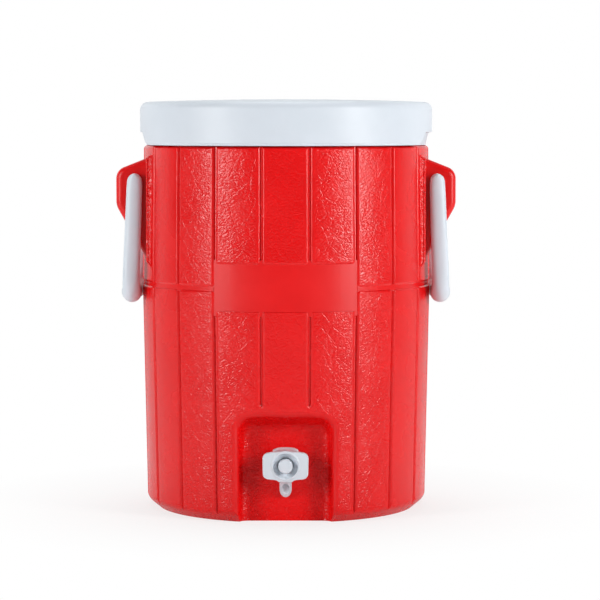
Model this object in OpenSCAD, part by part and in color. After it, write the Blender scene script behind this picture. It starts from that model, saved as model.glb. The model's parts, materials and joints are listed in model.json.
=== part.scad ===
// Insulated drink jug: a staved body with a foam wall, a lift-off lid, two bail handles and a push tap.
// Sizes are millimetres. The jug stands on z = 0, its axis is the Z axis and its tap faces -Y.

/* [Body] */
// Height of the body from the floor to its shoulder
body_h = 415; // [405:1:430]
// Height of the waist groove
waist_z = 258.5; // [252:0.5:265]
// Distance from the axis to a stave's flat at the waist
waist_a = 165.2; // [164:0.1:168]
// Lean of a stave's flat, inward from the waist to the shoulder
shoulder_in = 1.9; // [0:0.1:4]
// Lean of a stave's flat, inward from the waist to the heel
heel_in = 4.9; // [2:0.1:8]
// Height of the sloping heel round the foot
heel_h = 13; // [9:0.5:18]
// Set-back of the foot behind the flats at the heel
foot_in = 13.3; // [9:0.1:18]
// Rounding of the shoulder's edge
shoulder_edge_r = 4; // [2:0.5:6]

/* [Staves] */
// Number of flat staves round the body
stave_count = 20; // [16:4:24]
// Width of a groove between two staves
groove_w = 4.4; // [3:0.1:6]
// Depth of a groove between two staves
groove_d = 2.4; // [1.5:0.1:3]
// Width of the waist groove
waist_w = 6; // [4:0.5:9]
// Depth of the waist groove
waist_d = 2; // [1:0.1:3]

/* [Plaque] */
// Height of the plaque's middle above the waist groove
plaque_up = 1.2; // [-4:0.1:6]
// Height of the plaque
plaque_h = 51.5; // [40:0.5:60]
// Depth of the plaque below the staves
plaque_d = 1.6; // [1:0.1:2.5]
// Number of staves that the plaque covers
plaque_staves = 3; // [1:2:5]

/* [Alcove] */
// Depth of the alcove behind the flats at the heel
alcove_d = 29.3; // [26:0.1:32]
// Width of the back wall
alcove_w = 93.6; // [80:0.2:100]
// Height of the back wall
alcove_h = 106.3; // [100:0.1:115]
// Rounding of the back wall's upper corners
alcove_r = 12; // [6:1:18]
// Spread of each side wall from straight out
alcove_side_angle = 11; // [5:1:20]
// Rise of the roof from straight out
alcove_roof_angle = 25; // [10:1:35]

/* [Wall] */
// Thickness of the shell at its thinnest
shell_t = 3.5; // [2.5:0.1:4.5]
// Thickness of the shell's shoulder
shoulder_t = 4; // [3:0.5:6]
// Width of the flat ring that the jug stands on
foot_ring_w = 25; // [20:0.5:32]
// Height of the hollow under the base
base_hollow_h = 3; // [2:0.5:5]
// Radius of the hole that the foam is poured through
fill_r = 10; // [8:0.5:14]
// Radius of the fill plug's head
fill_head_r = 16; // [15:0.5:20]
// Thickness of the fill plug's head
fill_head_t = 1.6; // [1:0.1:1.9]
// Thickness of the liner
liner_t = 3; // [2.5:0.1:3.5]
// Height of the liner's floor
liner_floor_z = 34; // [31:0.5:38]
// Thickness of the foam between the alcove and the liner, at the tap
tap_foam_t = 7; // [5:0.1:10]
// Thickness of the whole wall just below the neck
top_wall = 29.3; // [26:0.1:33]
// Width of the step in the liner's neck
neck_step = 4; // [2:0.5:6]
// Width of the neck's rolled rim
neck_w = 11; // [9.5:0.5:12]
// Height of the neck above the shoulder
neck_h = 25; // [20:0.5:30]
// Depth of the wider neck below the shoulder
neck_depth = 11; // [8:0.5:16]
// Depth of the neck's outer lip inside the shell's mouth
neck_lip = 6; // [5:0.5:10]

/* [Lid] */
// Reach of the lid past the shoulder's flats
lid_overhang = 4.2; // [3.6:0.1:6]
// Height of the lid at its rim
lid_h = 49; // [44:0.5:54]
// Rise of the lid's crown above its rim
lid_crown = 3; // [1:0.5:6]
// Rounding of the lid's upper edge
lid_edge_r = 9; // [6:0.5:12]
// Thickness of the lid's skin
lid_t = 3; // [2:0.1:3.5]
// Turn of the lid on the neck, in degrees
lid_turn = 3; // [-10:1:10]
// Height of a finger notch
notch_h = 13.5; // [10:0.5:15]
// Depth of a finger notch behind the skirt
notch_in = 7.5; // [6:0.1:7.6]
// Length of a finger notch along its roof
notch_top_w = 95; // [80:1:110]
// Length of a finger notch along its mouth
notch_bottom_w = 138; // [110:1:150]
// Depth of the lid's plug inside the neck
plug_depth = 19; // [12:0.5:22]
// Thickness of the lid's inner panel
panel_t = 3; // [2:0.1:4]
// Width of the lid's gasket
lid_gasket_w = 8; // [6:0.5:9]
// Thickness of the lid's gasket
lid_gasket_t = 3; // [2:0.1:4]

/* [Lugs] */
// Drop of the handle's pivot below the shoulder
pivot_drop = 40.6; // [38:0.1:44]
// Distance of the pivot outside the waist's flats
pivot_out = 5.8; // [5:0.1:8]
// Width of a lug between the handle's legs
lug_w = 92; // [84:1:100]
// Reach of a lug outside the pivot
lug_reach = 21.8; // [20:0.1:26]
// Rounding of a lug's upper outer corner
lug_top_r = 13; // [10:0.5:16]
// Rounding of a lug's lower outer corner
lug_low_r = 8.5; // [6:0.5:11]
// Height of the upper corner's centre above the pivot
lug_top_up = 3.6; // [0:0.1:6]
// Depth of the lower corner's centre below the pivot
lug_low_down = 25.4; // [22:0.1:30]
// Height above the pivot at which a lug's top meets the body
lug_root_up = 25; // [20:0.5:29]
// Depth below the pivot at which a lug's underside meets the body
lug_root_down = 90; // [80:1:95]
// Rounding of a lug's front and back edges
lug_edge_r = 5; // [2:0.5:7]
// Width of the pad behind a lug
pad_w = 132; // [124:1:138]
// Set-back of the pad behind the pivot
pad_back = 13; // [11.5:0.1:15]
// Slope of the pad's upper and lower edges
pad_slope = 34; // [25:1:45]

/* [Handles] */
// Radius of a leg's round end at the pivot
leg_r = 9.05; // [8:0.05:10]
// Half width of a leg where it turns into the grip
leg_low_r = 10.3; // [9.5:0.1:11]
// Distance from the pivot to where a leg turns into the grip
leg_low_drop = 86.4; // [80:0.1:95]
// Distance that a leg leans out at its turn
leg_low_out = 3.2; // [2.5:0.1:5]
// Thickness of a leg
leg_t = 13; // [10:0.5:14]
// Radius of the bend between a leg and the grip
bend_r = 20; // [16:0.5:24]
// Radius of the grip at its middle
grip_r = 11; // [10:0.1:12.6]
// Radius of the grip where it turns into a leg
grip_end_r = 12.4; // [11:0.1:13.5]
// Distance from the pivot down to the grip
grip_drop = 126.4; // [120:0.1:135]
// Clearance between the hanging grip and the staves
grip_gap = 0.8; // [0.5:0.1:3]
// Radius of a pivot stud
stud_r = 6; // [5:0.5:7]
// Length of a pivot stud inside the lug
stud_l = 10; // [8:0.5:14]

/* [Tap] */
// Height of the tap's axis
tap_z = 64.6; // [62:0.1:70]
// Radius of the tap's shank
shank_r = 11.5; // [11:0.1:12.5]
// Radius of the water way in the shank
way_r = 7.5; // [7:0.1:8]
// Length of the shank past its nut
shank_end_l = 5; // [3:0.5:8]
// Thickness of each tap gasket
gasket_t = 2.5; // [1.5:0.1:3]
// Width of the tap's flange
flange_w = 31; // [29:0.5:40]
// Height of the tap's flange
flange_h = 37.6; // [34:0.2:42]
// Rounding of the flange's corners
flange_r = 4; // [2:0.5:8]
// Rise of the crown along the flange's upper and lower edges
flange_crown = 1.8; // [0.5:0.1:3]
// Thickness of the tap's flange
flange_t = 6; // [4:0.5:8]
// Reach of the outer gasket past the flange
gasket_reach = 1; // [0.5:0.1:2]
// Width of the neck between the flange and the finger wings
tap_neck_w = 27; // [24:0.5:29]
// Height of the neck between the flange and the finger wings
tap_neck_h = 34; // [32:0.5:35]
// Radius of the round chin below the finger wings
chin_r = 17.9; // [16.5:0.1:20]
// Length of the chin
chin_l = 16; // [12:0.5:17]
// Width over the finger wings
wing_w = 50.6; // [46:0.2:56]
// Height of the finger wings
wing_h = 31.7; // [28:0.1:35]
// Rounding of the finger wings' corners
wing_r = 8; // [4:0.5:12]
// Rise of the crown along the wings' upper and lower edges
wing_crown = 1; // [0.5:0.1:2]
// Thickness of the finger wings
wing_t = 5; // [3:0.5:6]
// Set-back of the chin's face behind the wings
chin_back = 1; // [0.5:0.1:2]
// Radius of the dish round the button
dish_r = 15; // [13:0.5:16]
// Depth of the dish
dish_d = 6; // [4:0.5:7]
// Width of the ring sunk round the button
moat_w = 0.6; // [0.3:0.1:1]
// Depth of the ring sunk round the button
moat_d = 2; // [1:0.1:3]
// Radius of the button
button_r = 8.3; // [8:0.1:9.5]
// Height of the button's face above the wings
button_proud = 4.5; // [4:0.1:6]
// Length of the button
button_l = 9.3; // [8.5:0.1:11]
// Rounding of the button's edge
button_edge_r = 1.2; // [0.5:0.1:2]
// Wall of the button round its spring
button_t = 1.6; // [1:0.1:1.8]
// Thickness of the button's face
button_face_t = 2.5; // [2:0.1:3]
// Travel of the button
button_travel = 4; // [3:0.1:4.5]
// Thickness of the wall between the button's bore and the water way
partition_t = 4; // [3.5:0.1:5]
// Radius of the spout
spout_r = 6.7; // [6:0.1:7.5]
// Radius of the spout's bore
spout_bore_r = 4.2; // [3.5:0.1:5.2]
// Height of the spout's tip
spout_tip_z = 26.6; // [24:0.1:32]
// Slant of the spout's mouth
spout_angle = 56; // [40:1:60]
// Radius of the valve stem
stem_r = 3; // [2.6:0.1:3.3]
// Radius of the stem's shoulder and of the button's socket
stem_shoulder_r = 4.8; // [4.4:0.1:5]
// Length of the stem's shoulder and depth of the button's socket
stem_shoulder_l = 4; // [2:0.1:4.5]
// Radius of the valve disc
disc_r = 10.5; // [9:0.1:11]
// Thickness of the valve disc
disc_t = 3.5; // [2:0.1:5]
// Radius of the stem's clip
clip_r = 6; // [5:0.1:7]
// Thickness of the stem's clip
clip_t = 1.2; // [0.8:0.1:1.6]
// Length of the stem's tip past the clip
stem_tip_l = 1.5; // [1:0.1:3]
// Radius of the seal's round section
seal_wire_r = 1; // [0.8:0.05:1.2]
// Width of the lock nut across its flats
nut_w = 38; // [34:0.5:42]
// Thickness of the lock nut
nut_t = 8.5; // [6:0.5:10]
// Radius of the inner gasket
inner_gasket_r = 18; // [16:0.5:20]
// Radius of the flat boss on the liner
boss_r = 24; // [21:0.5:25]
// Height of the boss above each face of the liner
boss_proud = 2.2; // [1.8:0.1:3]
// Wall of the sleeve through the foam
sleeve_t = 3; // [2:0.1:4]
// Radius of the spring's wire
spring_wire_r = 0.5; // [0.35:0.05:0.6]
// Number of turns in the spring
spring_turns = 4; // [3:0.5:4.5]

/* [Fits] */
// Running clearance round a stud, a stem or the button
running_gap = 0.06; // [0.03:0.01:0.1]
// Clearance round foam and between moulded pieces
seat_gap = 0.3; // [0.2:0.05:0.6]
// Clearance between the lid's plug and the neck
plug_gap = 0.5; // [0.3:0.1:1]
// Clearance between the liner's flange and the lid's finger notches
lid_gap = 1; // [0.6:0.1:1.2]
// Clearance between a lug and a handle's leg
leg_gap = 0.6; // [0.4:0.1:1]
// Clearance of the shank in its holes
hole_gap = 0.5; // [0.3:0.1:1]
// Clearance left when the button meets its stop
stop_gap = 0.5; // [0.3:0.1:1]

/* [Hidden] */
$fn = 96;
hull_fn = 32;
over = 1;
sliver = 0.01;
red = [0.70, 0.05, 0.08];
white = [0.93, 0.94, 0.95];
cream = [0.94, 0.90, 0.74];
rubber = [0.82, 0.83, 0.82];
steel = [0.72, 0.73, 0.75];

// Staves: the angle from a flat's middle to its corner, and the body's rings as height and flat
stave_half = 180 / stave_count;
shoulder_a = waist_a - shoulder_in;
heel_a = waist_a - heel_in;
foot_r = heel_a - foot_in;
plaque_z = waist_z + plaque_up;
alcove_y = heel_a - alcove_d;
lower_slope = (waist_a - heel_a) / (waist_z - heel_h);
below_a = heel_a - lower_slope * (heel_h + over);
heel_slope = (heel_a / cos(stave_half) - foot_r) / heel_h;
body_rings = concat(
    [[-over, below_a]],
    [for (t = [-1, -0.5, 0, 0.5, 1])
        [waist_z + t * waist_w / 2, waist_a - waist_d * (1 + cos(180 * t)) / 2]],
    [for (turn = [0, 30, 60, 90])
        [body_h - shoulder_edge_r * (1 - sin(turn)), shoulder_a - shoulder_edge_r * (1 - cos(turn))]],
    [[body_h + over, shoulder_a - shoulder_edge_r]]);

// Wall: the shell's inner radii, and the liner's taper from its floor to its neck
skin = shell_t + max(plaque_d, waist_d);
base_hollow_r = foot_r - foot_ring_w;
cavity_floor_z = base_hollow_h + shell_t;
cavity_floor_r = foot_r + heel_slope * cavity_floor_z - shell_t * sqrt(1 + heel_slope * heel_slope);
cavity_side_z = cavity_floor_z + (heel_a - skin - cavity_floor_r) / heel_slope;
neck_top_z = body_h + neck_h;
neck_low_z = body_h - neck_depth;
liner_top_r = shoulder_a - top_wall;
neck_r = liner_top_r + neck_step;
neck_out_r = neck_r + neck_w;
liner_tap_r = alcove_y - shell_t - tap_foam_t - liner_t;
tap_share = (tap_z - liner_floor_z) / (neck_low_z - liner_floor_z);
liner_floor_r = (liner_tap_r - liner_top_r * tap_share) / (1 - tap_share);

// Lid: stacked on the neck
lid_z = body_h + seat_gap;
lid_r = shoulder_a + lid_overhang;
crown_r = ((lid_r - lid_edge_r) ^ 2 + lid_crown ^ 2) / (2 * lid_crown);
notch_r = lid_r - notch_in;
liner_flange_r = notch_r - lid_t - lid_gap;
panel_flange_z = neck_top_z + lid_gasket_t;
panel_floor_z = neck_top_z - plug_depth;
plug_r = neck_r - plug_gap;
panel_r = lid_r - lid_t - seat_gap;
lid_roof_z = lid_z + lid_h - lid_t;

// Lugs and handles: the pivot on the right side, and the handle's layers along Y
pivot_x = waist_a + pivot_out;
pivot_z = body_h - pivot_drop;
lug_half = lug_w / 2;
leg_y = lug_half + leg_gap;
leg_mid = leg_y + leg_t / 2;
grip_end_y = leg_mid - bend_r;
bend_drop = grip_drop - bend_r;
grip_end_x = grip_x(grip_end_y, grip_end_r);

// Sweep of a handle: its sides, the squareness of its sections, and where its stations lie
bail_sides = 16;
leg_power = 4;
bend_power = 3.2;
round_power = 2;
cap_turns = [85, 60, 30];
bend_turns = [0 : 15 : 90];
grip_parts = [0.75, 0.5, 0.25, 0];

// Tap: distances from the jug's axis, outward along the tap's axis
tap_hole_r = shank_r + hole_gap;
gasket_face = alcove_y + gasket_t;
spout_y = gasket_face + seat_gap + spout_r;
way_end = spout_y + spout_bore_r + over;
partition_face = way_end + partition_t;
button_back = partition_face + button_travel + stop_gap;
button_face = button_back + button_l;
wing_face = button_face - button_proud;
boss_face = liner_tap_r - boss_proud;
boss_back = liner_tap_r + liner_t + boss_proud;
nut_face = boss_face - gasket_t;
nut_end = nut_face - nut_t;
shank_end = nut_end - shank_end_l;
disc_end = shank_end - disc_t;
clip_end = disc_end - clip_t;
stem_end = clip_end - stem_tip_l;
stem_front = button_face - button_face_t;
button_bore_r = button_r + running_gap;
moat_r = button_bore_r + moat_w;
stem_bore_r = stem_r + running_gap;
seal_r = stem_bore_r + seal_wire_r;
seal_room_r = seal_r + seal_wire_r + running_gap;
seal_mid = way_end + partition_t / 2;

// Spring: one helix of wire between the partition and the button's face
spring_sides = 6;
spring_steps = 12;
spring_r = (stem_shoulder_r + button_r - button_t) / 2;
spring_l = stem_front - partition_face;
spring_rise = spring_l - 2 * spring_wire_r - 2 * running_gap;
spring_count = spring_turns * spring_steps;
spring_self_gap = spring_rise / spring_turns - 2 * spring_wire_r;
echo(spring_self_gap = spring_self_gap);

function polar(r, angle) = [r * cos(angle), r * sin(angle)];
function closed_sides(rings, sides) = [for (i = [0 : rings - 2]) for (j = [0 : sides - 1])
    let (k = (j + 1) % sides) [i * sides + j, (i + 1) * sides + j, (i + 1) * sides + k, i * sides + k]];
function end_caps(rings, sides) = [
    [for (j = [0 : sides - 1]) j],
    [for (j = [sides - 1 : -1 : 0]) (rings - 1) * sides + j]];

function stave_ring(flat) = [for (corner = [0 : stave_count - 1])
    polar(flat / cos(stave_half), (2 * corner + 1) * stave_half)];

// Flat staves, lofted through the body's rings
module stave_body() {
    points = [for (ring = body_rings) for (p = stave_ring(ring[1])) [p[0], p[1], ring[0]]];
    faces = concat(closed_sides(len(body_rings), stave_count), end_caps(len(body_rings), stave_count));
    polyhedron(points, faces, convexity = 10);
}

// Round room that trims the staves to the flat foot, the sloping heel and the flat shoulder
module body_envelope() {
    outer_r = waist_a / cos(stave_half) + over;
    rotate_extrude() polygon([[0, 0], [foot_r, 0], [outer_r, (outer_r - foot_r) / heel_slope],
        [outer_r, body_h], [0, body_h]]);
}

// Round-bottomed grooves along the stave corners, between two heights
module stave_grooves(z_low, flat_low, z_high, flat_high) {
    sink = groove_d - groove_w / 2;
    r_low = flat_low / cos(stave_half) - sink;
    r_high = flat_high / cos(stave_half) - sink;
    run = z_high - z_low;
    for (corner = [0 : stave_count - 1]) rotate((2 * corner + 1) * stave_half) translate([r_low, 0, z_low])
        rotate([0, atan((r_high - r_low) / run), 0]) cylinder(d = groove_w, h = norm([run, r_high - r_low]));
}

// Shallow bay across the front staves
module plaque_bay() {
    span = plaque_staves * 2 * stave_half;
    rotate(270 - span / 2) rotate_extrude(angle = span)
        translate([waist_a - plaque_d, plaque_z - plaque_h / 2]) square([waist_a, plaque_h]);
}

// Upright outline with round upper corners, standing at a distance from the axis
module arch_slab(distance, width, height) {
    translate([0, -distance, 0]) rotate([90, 0, 0]) linear_extrude(sliver) {
        translate([-width / 2, -over]) square([width, height - alcove_r + over]);
        for (side = [-1, 1]) translate([side * (width / 2 - alcove_r), height - alcove_r])
            circle(alcove_r, $fn = hull_fn);
        translate([alcove_r - width / 2, -over]) square([width - 2 * alcove_r, height + over]);
    }
}

// Room of the tap alcove, grown on all sides
module alcove(grow) {
    run = lid_r - alcove_y + over;
    hull() {
        arch_slab(alcove_y - grow, alcove_w + 2 * grow, alcove_h + grow);
        arch_slab(alcove_y + run, alcove_w + 2 * (grow + run * tan(alcove_side_angle)),
            alcove_h + grow + run * tan(alcove_roof_angle));
    }
}

// Room inside the shell
module shell_cavity() {
    difference() {
        rotate_extrude() polygon([
            [0, cavity_floor_z], [cavity_floor_r, cavity_floor_z], [heel_a - skin, cavity_side_z],
            [waist_a - skin, waist_z], [shoulder_a - skin, body_h - shoulder_t],
            [neck_out_r + seat_gap, body_h - shoulder_t], [neck_out_r + seat_gap, body_h + over],
            [0, body_h + over]]);
        alcove(shell_t);
    }
}

// Places children on the tap's axis, facing out, at a distance from the jug's axis
module on_tap(distance) translate([0, -distance, tap_z]) rotate([90, 0, 0]) children();

// Places children for the right side and mirrors them for the left
module both_sides() for (side = [0, 1]) mirror([side, 0, 0]) children();

module rounded_rect(width, height, r) {
    square([width - 2 * r, height], center = true);
    square([width, height - 2 * r], center = true);
    for (x = [-1, 1]) for (y = [-1, 1]) translate([x * (width / 2 - r), y * (height / 2 - r)]) circle(r);
}

// Rounded rectangle whose upper and lower edges rise to a crown at their middle
module crowned_rect(width, height, r, crown) {
    arc_r = (width * width / 4 + crown * crown) / (2 * crown);
    intersection() {
        rounded_rect(width, height, r);
        translate([0, height / 2 - arc_r]) circle(arc_r);
        translate([0, arc_r - height / 2]) circle(arc_r);
    }
}

module tube(r_in, r_out, h) {
    difference() {
        cylinder(r = r_out, h = h);
        translate([0, 0, -over]) cylinder(r = r_in, h = h + 2 * over);
    }
}

// Rod along Y with round edges, placed from the right pivot
module soft_rod(x, z, r, half, edge_r) {
    translate([pivot_x + x, 0, pivot_z + z]) rotate([90, 0, 0]) for (turn = [0, 45, 90])
        cylinder(r = r - edge_r * (1 - cos(turn)), h = 2 * (half - edge_r * (1 - sin(turn))),
            center = true, $fn = hull_fn);
}

// Ear that carries a handle, with the pad behind it
module lug() {
    root_x = -pivot_out - lug_edge_r;
    hull() {
        soft_rod(lug_reach - lug_top_r, lug_top_up, lug_top_r, lug_half, lug_edge_r);
        soft_rod(lug_reach - lug_low_r, -lug_low_down, lug_low_r, lug_half, lug_edge_r);
        soft_rod(root_x, lug_root_up - lug_edge_r, lug_edge_r, lug_half, lug_edge_r);
        soft_rod(root_x - skin, lug_edge_r - lug_root_down, lug_edge_r, lug_half, lug_edge_r);
    }
    pad_x = pivot_x - pad_back;
    depth = lug_reach + pad_back;
    rise = depth * tan(pad_slope);
    translate([0, pad_w / 2, 0]) rotate([90, 0, 0]) linear_extrude(pad_w) polygon([
        [pad_x, pivot_z + lug_root_up + over], [pad_x - depth, pivot_z + lug_root_up + rise],
        [pad_x - depth, pivot_z - lug_root_down - 2 * rise], [pad_x, pivot_z - lug_root_down]]);
}

// Blind sockets for a handle's studs
module lug_sockets() {
    depth = stud_l + seat_gap - leg_gap;
    for (side = [0, 1]) mirror([0, side, 0]) translate([pivot_x, -lug_half - over, pivot_z])
        rotate([-90, 0, 0]) cylinder(r = stud_r + running_gap, h = depth + over);
}

module outer_shell() {
    color(red) difference() {
        union() {
            difference() {
                intersection() {
                    stave_body();
                    body_envelope();
                }
                stave_grooves(-over, below_a, waist_z, waist_a);
                stave_grooves(waist_z, waist_a, body_h + over, shoulder_a);
            }
            intersection() {
                both_sides() lug();
                translate([0, 0, sliver]) cylinder(r = waist_a + lug_w, h = body_h - shoulder_edge_r);
            }
        }
        plaque_bay();
        alcove(0);
        shell_cavity();
        translate([0, 0, -over]) cylinder(r = base_hollow_r, h = base_hollow_h + over);
        cylinder(r = fill_r + seat_gap, h = cavity_floor_z + over);
        on_tap(alcove_y - shell_t - over) cylinder(r = tap_hole_r, h = shell_t + 2 * over);
        both_sides() lug_sockets();
    }
}

module wall_foam() {
    color(cream) difference() {
        rotate_extrude() polygon([
            [0, cavity_floor_z + seat_gap], [cavity_floor_r - seat_gap, cavity_floor_z + seat_gap],
            [heel_a - skin - seat_gap, cavity_side_z], [waist_a - skin - seat_gap, waist_z],
            [shoulder_a - skin - seat_gap, body_h - shoulder_t - seat_gap],
            [neck_out_r + seat_gap, body_h - shoulder_t - seat_gap],
            [neck_out_r + seat_gap, body_h - neck_lip - seat_gap],
            [neck_out_r - liner_t - seat_gap, body_h - neck_lip - seat_gap],
            [neck_out_r - liner_t - seat_gap, neck_top_z - liner_t - seat_gap],
            [neck_r + liner_t + seat_gap, neck_top_z - liner_t - seat_gap],
            [neck_r + liner_t + seat_gap, neck_low_z],
            [liner_top_r + liner_t + seat_gap, neck_low_z - neck_step],
            [liner_floor_r + liner_t + seat_gap, liner_floor_z - liner_t - seat_gap],
            [0, liner_floor_z - liner_t - seat_gap]]);
        alcove(shell_t + seat_gap);
        on_tap(boss_face) cylinder(r = boss_r + seat_gap, h = boss_back + seat_gap - boss_face);
        on_tap(boss_face) cylinder(r = tap_hole_r + sleeve_t + seat_gap, h = alcove_y - boss_face);
    }
}

module inner_liner() {
    color(white) difference() {
        union() {
            rotate_extrude() polygon([
                [0, liner_floor_z], [liner_floor_r, liner_floor_z], [liner_top_r, neck_low_z - neck_step],
                [neck_r, neck_low_z], [neck_r, neck_top_z], [neck_out_r, neck_top_z],
                [neck_out_r, body_h + liner_t], [liner_flange_r, body_h + liner_t],
                [liner_flange_r, body_h], [neck_out_r, body_h], [neck_out_r, body_h - neck_lip],
                [neck_out_r - liner_t, body_h - neck_lip], [neck_out_r - liner_t, neck_top_z - liner_t],
                [neck_r + liner_t, neck_top_z - liner_t], [neck_r + liner_t, neck_low_z],
                [liner_top_r + liner_t, neck_low_z - neck_step],
                [liner_floor_r + liner_t, liner_floor_z - liner_t], [0, liner_floor_z - liner_t]]);
            on_tap(boss_face) cylinder(r = boss_r, h = boss_back - boss_face);
        }
        on_tap(boss_face - over) cylinder(r = tap_hole_r, h = boss_back - boss_face + 2 * over);
    }
}

module fill_plug() {
    color(white) {
        translate([0, 0, base_hollow_h - fill_head_t]) cylinder(r = fill_head_r, h = fill_head_t);
        translate([0, 0, base_hollow_h]) cylinder(r = fill_r, h = shell_t);
    }
}

// Half section of the lid, set in from its outer face
module lid_section(inset) {
    straight = lid_h - lid_edge_r;
    translate([0, -over]) square([lid_r - lid_edge_r, lid_h - inset + over]);
    translate([0, -over]) square([lid_r - inset, straight + over]);
    translate([lid_r - lid_edge_r, straight]) circle(lid_edge_r - inset);
    intersection() {
        translate([0, lid_h + lid_crown - crown_r]) circle(crown_r - inset);
        square([lid_r - lid_edge_r, lid_h + lid_crown]);
    }
}

// Finger notches in the skirt, grown on all sides
module notches(grow) {
    both_sides() difference() {
        rotate([90, 0, 90]) linear_extrude(lid_r + over) polygon([
            [-notch_bottom_w / 2 - grow, -over], [notch_bottom_w / 2 + grow, -over],
            [notch_bottom_w / 2 + grow, 0], [notch_top_w / 2 + grow, notch_h + grow],
            [-notch_top_w / 2 - grow, notch_h + grow], [-notch_bottom_w / 2 - grow, 0]]);
        translate([0, 0, -2 * over]) cylinder(r = notch_r - grow, h = lid_h);
    }
}

module lid_cover() {
    color(white) translate([0, 0, lid_z]) rotate(lid_turn) difference() {
        rotate_extrude() intersection() {
            lid_section(0);
            square([lid_r, lid_h + lid_crown]);
        }
        difference() {
            rotate_extrude() intersection() {
                lid_section(lid_t);
                translate([0, -over]) square([lid_r, lid_h + lid_crown + over]);
            }
            notches(lid_t);
        }
        notches(0);
    }
}

module lid_foam() {
    bevel = lid_edge_r - lid_t;
    cup_r = plug_r - panel_t - seat_gap;
    cup_z = panel_floor_z + panel_t + seat_gap;
    brim_z = panel_flange_z + panel_t + seat_gap;
    top_z = lid_roof_z - seat_gap;
    color(cream) rotate_extrude() polygon([
        [0, cup_z], [cup_r, cup_z], [cup_r, brim_z], [panel_r, brim_z], [panel_r, top_z - bevel],
        [panel_r - bevel, top_z], [0, top_z]]);
}

module lid_panel() {
    color(white) rotate_extrude() polygon([
        [0, panel_floor_z], [plug_r, panel_floor_z], [plug_r, panel_flange_z], [panel_r, panel_flange_z],
        [panel_r, panel_flange_z + panel_t], [plug_r - panel_t, panel_flange_z + panel_t],
        [plug_r - panel_t, panel_floor_z + panel_t], [0, panel_floor_z + panel_t]]);
}

module lid_gasket() {
    middle = neck_r + neck_w / 2;
    color(rubber) translate([0, 0, neck_top_z])
        tube(middle - lid_gasket_w / 2, middle + lid_gasket_w / 2, lid_gasket_t);
}

// Reach of the hanging grip's middle line at a distance from the jug's middle, clear of the staves
function grip_x(y, r) = grip_gap + r
    + min(waist_a, (waist_a - y * sin(2 * stave_half)) / cos(2 * stave_half));

// Stations of the bail from its front leg's round end to the middle of its grip, heights from the pivot.
// Each is [x, y, z, half width, half thickness, squareness, turn from straight down].
function bail_half() = concat(
    [for (turn = cap_turns)
        [pivot_x, -leg_mid, leg_r * sin(turn), leg_r * cos(turn), leg_t / 2, leg_power, 0]],
    [for (part = [0, 0.5, 1])
        [pivot_x + part * leg_low_out, -leg_mid, -part * leg_low_drop,
            leg_r + part * (leg_low_r - leg_r), leg_t / 2, leg_power, 0]],
    [for (turn = bend_turns) let (part = sin(turn), low_x = pivot_x + leg_low_out)
        [low_x + part * (grip_end_x - low_x), -grip_end_y - bend_r * cos(turn), -bend_drop - bend_r * part,
            leg_low_r + (grip_end_r - leg_low_r) * (1 + part) / 2,
            leg_t / 2 + part * (grip_end_r - leg_t / 2),
            bend_power + part * (round_power - bend_power), turn]],
    [for (part = grip_parts) let (r = grip_r + part * part * (grip_end_r - grip_r))
        [grip_x(part * grip_end_y, r), -part * grip_end_y, -grip_drop, r, r, round_power, 90]]);
function bail_stations() = let (front = bail_half(), last = len(front) - 2) concat(front,
    [for (i = [last : -1 : 0]) let (s = front[i]) [s[0], -s[1], s[2], s[3], s[4], s[5], 180 - s[6]]]);
function squared(v, power) = sign(v) * pow(abs(v), 2 / power);
function bail_ring(s) = [for (j = [0 : bail_sides - 1]) let (angle = j * 360 / bail_sides,
    wide = s[3] * squared(cos(angle), s[5]), thick = s[4] * squared(sin(angle), s[5]))
    [s[0] + wide, s[1] - thick * cos(s[6]), pivot_z + s[2] - thick * sin(s[6])]];

// Bail handle on the right side: one swept bar with a stud on each leg
module handle() {
    stations = bail_stations();
    points = [for (s = stations) for (p = bail_ring(s)) p];
    faces = concat(closed_sides(len(stations), bail_sides), end_caps(len(stations), bail_sides));
    polyhedron(points, faces, convexity = 10);
    for (side = [0, 1]) mirror([0, side, 0]) translate([pivot_x, -leg_mid, pivot_z]) rotate([-90, 0, 0])
        cylinder(r = stud_r, h = stud_l - leg_gap + leg_t / 2);
}

module right_handle() color(white) handle();

module left_handle() color(white) mirror([1, 0, 0]) handle();

// Round chin that swells below the finger wings
module tap_chin() {
    length = chin_l - chin_back;
    on_tap(wing_face - chin_l) intersection() {
        cylinder(r = chin_r, h = length);
        translate([-chin_r - over, -chin_r - over, -over])
            cube([2 * (chin_r + over), chin_r + over, length + 2 * over]);
    }
}

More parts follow.
